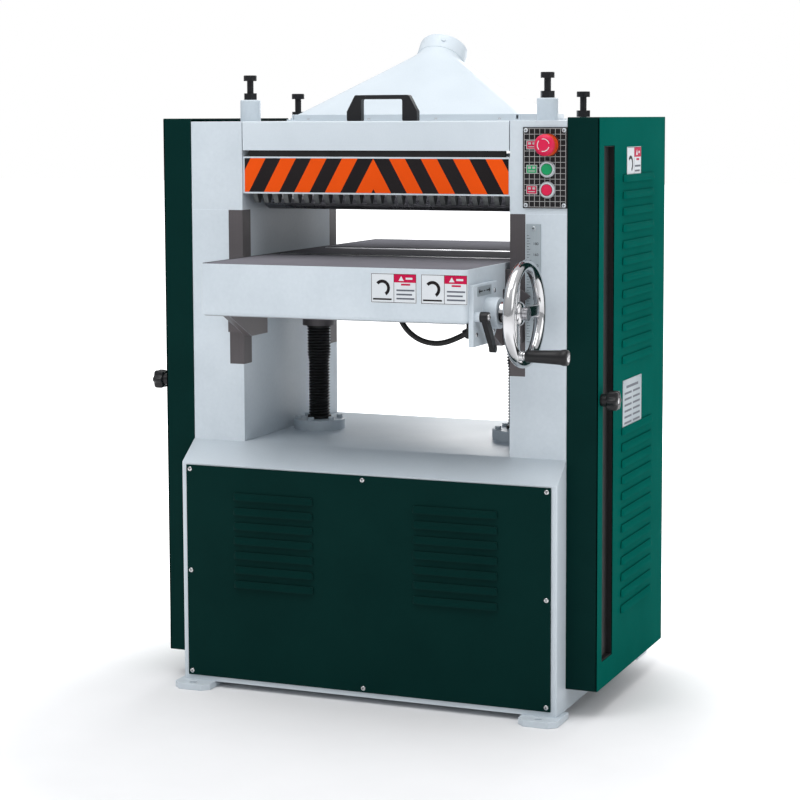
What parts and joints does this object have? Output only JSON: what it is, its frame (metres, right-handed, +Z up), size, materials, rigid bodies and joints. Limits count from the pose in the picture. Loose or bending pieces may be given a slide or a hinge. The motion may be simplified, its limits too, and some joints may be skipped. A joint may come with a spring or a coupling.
{
  "type": "thickness planer",
  "caption": "Floor-standing thickness planer: rising table under a cutter head between two columns, with side doors, dust hood, handwheel and switch plate.",
  "frame": {"origin": "centre of the four anchor holes, at floor level", "axes": "+X to the operator's right, +Y from the infeed side to the outfeed side, +Z up"},
  "size_m": [0.954, 0.855, 1.2747],
  "materials": {
    "white_paint": "semi-gloss",
    "green_paint": "semi-gloss",
    "machined_steel": "ground",
    "bright_steel": "turned",
    "table_iron": "ground",
    "dark_iron": "raw",
    "chrome": "polished",
    "black_plastic": "satin",
    "black_metal": "blacked",
    "rubber": "matte",
    "scale_aluminium": "satin",
    "control_black": "gloss",
    "button_red": "gloss",
    "button_green": "gloss",
    "motor_grey": "semi-gloss"
  },
  "bodies": {
    "frame": {"foot_plates": "white_paint", "base_cabinet": "white_paint", "front_panel": "green_paint", "rear_panel": "green_paint", "column_left": "white_paint", "column_right": "white_paint", "guide_ways": "machined_steel", "head_box_left": "white_paint", "head_box_right": "white_paint", "bearing_housings": "dark_iron", "head_crossbars": "white_paint", "head_bars": "machined_steel", "spring_bosses": "white_paint", "control_plate": "control_black", "scale_plate": "scale_aluminium", "nut_flanges": "white_paint", "bellows": "rubber", "main_motor": "motor_grey", "drive_belts": "rubber", "feed_gearbox": "motor_grey", "feed_chain": "bright_steel", "hinge_brackets": "white_paint"},
    "table": {"table_casting": "table_iron", "gib_strips": "machined_steel", "lift_gear_housings": "machined_steel", "wheel_gearbox": "white_paint", "conduit": "rubber", "conduit_glands": "black_plastic"},
    "lock_lever": {"lock_lever": "black_plastic"},
    "handwheel": {"handwheel": "chrome", "wheel_shaft": "bright_steel"},
    "crank_grip": {"crank_grip": "black_plastic"},
    "drive_shaft": {"drive_shaft": "bright_steel"},
    "cross_shaft": {"cross_shaft": "bright_steel"},
    "lead_screw_left": {"lead_screw_left": "bright_steel"},
    "lead_screw_right": {"lead_screw_right": "bright_steel"},
    "bed_roller_front": {"bed_roller_front": "bright_steel"},
    "bed_roller_rear": {"bed_roller_rear": "bright_steel"},
    "cutter": {"cutter_block": "bright_steel", "cutter_pulley": "dark_iron"},
    "motor_rotor": {"motor_rotor": "dark_iron"},
    "infeed_roller": {"infeed_roller": "bright_steel"},
    "outfeed_roller": {"outfeed_roller": "bright_steel"},
    "feed_sprocket": {"feed_sprocket": "bright_steel"},
    "kickback_fingers": {"kickback_fingers": "bright_steel"},
    "lid": {"lid_cover": "white_paint", "dust_hood": "white_paint", "lid_handle": "black_plastic"},
    "left_door": {"left_door": "green_paint"},
    "right_door": {"right_door": "green_paint"},
    "door_knob_left": {"door_knob_left": "black_plastic"},
    "door_knob_right": {"door_knob_right": "black_plastic"},
    "emergency_stop": {"emergency_stop": "button_red"},
    "start_button": {"start_button": "button_green"},
    "stop_button": {"stop_button": "button_red"},
    "pressure_screw_front_left": {"pressure_screw_front_left": "black_metal"},
    "pressure_screw_front_right": {"pressure_screw_front_right": "black_metal"},
    "pressure_screw_rear_left": {"pressure_screw_rear_left": "black_metal"},
    "pressure_screw_rear_right": {"pressure_screw_rear_right": "black_metal"}
  },
  "joints": [
    {"name": "table_lift", "type": "slide", "parent": "frame", "child": "table", "axis": [0, 0, 1], "range_m": [-0.11, 0.084], "deforming": ["bellows"]},
    {"name": "handwheel_turn", "type": "hinge", "parent": "table", "child": "handwheel", "pos_m": [0.341, -0.336, 0.758], "axis": [1, 0, 0], "range_deg": [-8000, 6200]},
    {"name": "grip_spin", "type": "hinge", "parent": "handwheel", "child": "crank_grip", "pos_m": [0.4, -0.38475, 0.68837], "axis": [1, 0, 0], "continuous": true},
    {"name": "drive_shaft_turn", "type": "hinge", "parent": "table", "child": "drive_shaft", "pos_m": [0.1, -0.1, 0.758], "axis": [0, 1, 0], "range_deg": [-6200, 8000]},
    {"name": "cross_shaft_turn", "type": "hinge", "parent": "table", "child": "cross_shaft", "pos_m": [0, 0, 0.758], "axis": [1, 0, 0], "range_deg": [-8000, 6200]},
    {"name": "screw_left_turn", "type": "hinge", "parent": "table", "child": "lead_screw_left", "pos_m": [-0.214, 0, 0.6], "axis": [0, 0, 1], "range_deg": [-6200, 8000]},
    {"name": "screw_right_turn", "type": "hinge", "parent": "table", "child": "lead_screw_right", "pos_m": [0.214, 0, 0.6], "axis": [0, 0, 1], "range_deg": [-8000, 6200]},
    {"name": "lever_turn", "type": "hinge", "parent": "table", "child": "lock_lever", "pos_m": [0.28, -0.399, 0.756], "axis": [1, 0, 0], "range_deg": [-75, 10]},
    {"name": "bed_front_spin", "type": "hinge", "parent": "table", "child": "bed_roller_front", "pos_m": [0, -0.108, 0.8153], "axis": [1, 0, 0], "continuous": true},
    {"name": "bed_rear_spin", "type": "hinge", "parent": "table", "child": "bed_roller_rear", "pos_m": [0, 0.108, 0.8153], "axis": [1, 0, 0], "continuous": true},
    {"name": "cutter_spin", "type": "hinge", "parent": "frame", "child": "cutter", "pos_m": [0, 0, 0.98], "axis": [1, 0, 0], "continuous": true},
    {"name": "motor_spin", "type": "hinge", "parent": "frame", "child": "motor_rotor", "pos_m": [0.38, 0.06, 0.135], "axis": [1, 0, 0], "continuous": true},
    {"name": "infeed_spin", "type": "hinge", "parent": "frame", "child": "infeed_roller", "pos_m": [0, -0.111, 0.967], "axis": [1, 0, 0], "continuous": true},
    {"name": "outfeed_spin", "type": "hinge", "parent": "frame", "child": "outfeed_roller", "pos_m": [0, 0.111, 0.967], "axis": [1, 0, 0], "continuous": true},
    {"name": "feed_output_spin", "type": "hinge", "parent": "frame", "child": "feed_sprocket", "pos_m": [-0.39, 0, 0.64], "axis": [1, 0, 0], "continuous": true},
    {"name": "fingers_swing", "type": "hinge", "parent": "frame", "child": "kickback_fingers", "pos_m": [0, -0.185, 0.985], "axis": [1, 0, 0], "range_deg": [0, 22]},
    {"name": "lid_hinge", "type": "hinge", "parent": "frame", "child": "lid", "pos_m": [0, 0.231, 1.097], "axis": [-1, 0, 0], "range_deg": [0, 75]},
    {"name": "left_door_hinge", "type": "hinge", "parent": "frame", "child": "left_door", "pos_m": [-0.389, 0.229, 0.6], "axis": [0, 0, -1], "range_deg": [0, 100]},
    {"name": "right_door_hinge", "type": "hinge", "parent": "frame", "child": "right_door", "pos_m": [0.389, 0.229, 0.6], "axis": [0, 0, 1], "range_deg": [0, 100]},
    {"name": "left_knob_turn", "type": "hinge", "parent": "left_door", "child": "door_knob_left", "pos_m": [-0.46, -0.203, 0.592], "axis": [1, 0, 0], "continuous": true},
    {"name": "right_knob_turn", "type": "hinge", "parent": "right_door", "child": "door_knob_right", "pos_m": [0.46, -0.203, 0.592], "axis": [1, 0, 0], "continuous": true},
    {"name": "emergency_press", "type": "slide", "parent": "frame", "child": "emergency_stop", "axis": [0, 1, 0], "range_m": [0, 0.006], "stiffness_N_per_m": 500},
    {"name": "start_press", "type": "slide", "parent": "frame", "child": "start_button", "axis": [0, 1, 0], "range_m": [0, 0.003], "stiffness_N_per_m": 400},
    {"name": "stop_press", "type": "slide", "parent": "frame", "child": "stop_button", "axis": [0, 1, 0], "range_m": [0, 0.003], "stiffness_N_per_m": 400},
    {"name": "pressure_front_left_turn", "type": "hinge", "parent": "frame", "child": "pressure_screw_front_left", "pos_m": [-0.308, -0.111, 1.15], "axis": [0, 0, 1], "continuous": true},
    {"name": "pressure_front_right_turn", "type": "hinge", "parent": "frame", "child": "pressure_screw_front_right", "pos_m": [0.308, -0.111, 1.15], "axis": [0, 0, 1], "continuous": true},
    {"name": "pressure_rear_left_turn", "type": "hinge", "parent": "frame", "child": "pressure_screw_rear_left", "pos_m": [-0.308, 0.111, 1.15], "axis": [0, 0, 1], "continuous": true},
    {"name": "pressure_rear_right_turn", "type": "hinge", "parent": "frame", "child": "pressure_screw_rear_right", "pos_m": [0.308, 0.111, 1.15], "axis": [0, 0, 1], "continuous": true}
  ],
  "couplings": [
    {"joint": "handwheel_turn", "follows": "table_lift", "rad_per_m": 1256.6},
    {"joint": "drive_shaft_turn", "follows": "table_lift", "rad_per_m": -1256.6},
    {"joint": "cross_shaft_turn", "follows": "table_lift", "rad_per_m": 1256.6},
    {"joint": "screw_left_turn", "follows": "table_lift", "rad_per_m": -1256.6},
    {"joint": "screw_right_turn", "follows": "table_lift", "rad_per_m": 1256.6},
    {"joint": "motor_spin", "follows": "cutter_spin", "ratio": 0.81818},
    {"joint": "outfeed_spin", "follows": "infeed_spin", "ratio": 1},
    {"joint": "feed_output_spin", "follows": "infeed_spin", "ratio": 1.6}
  ]
}
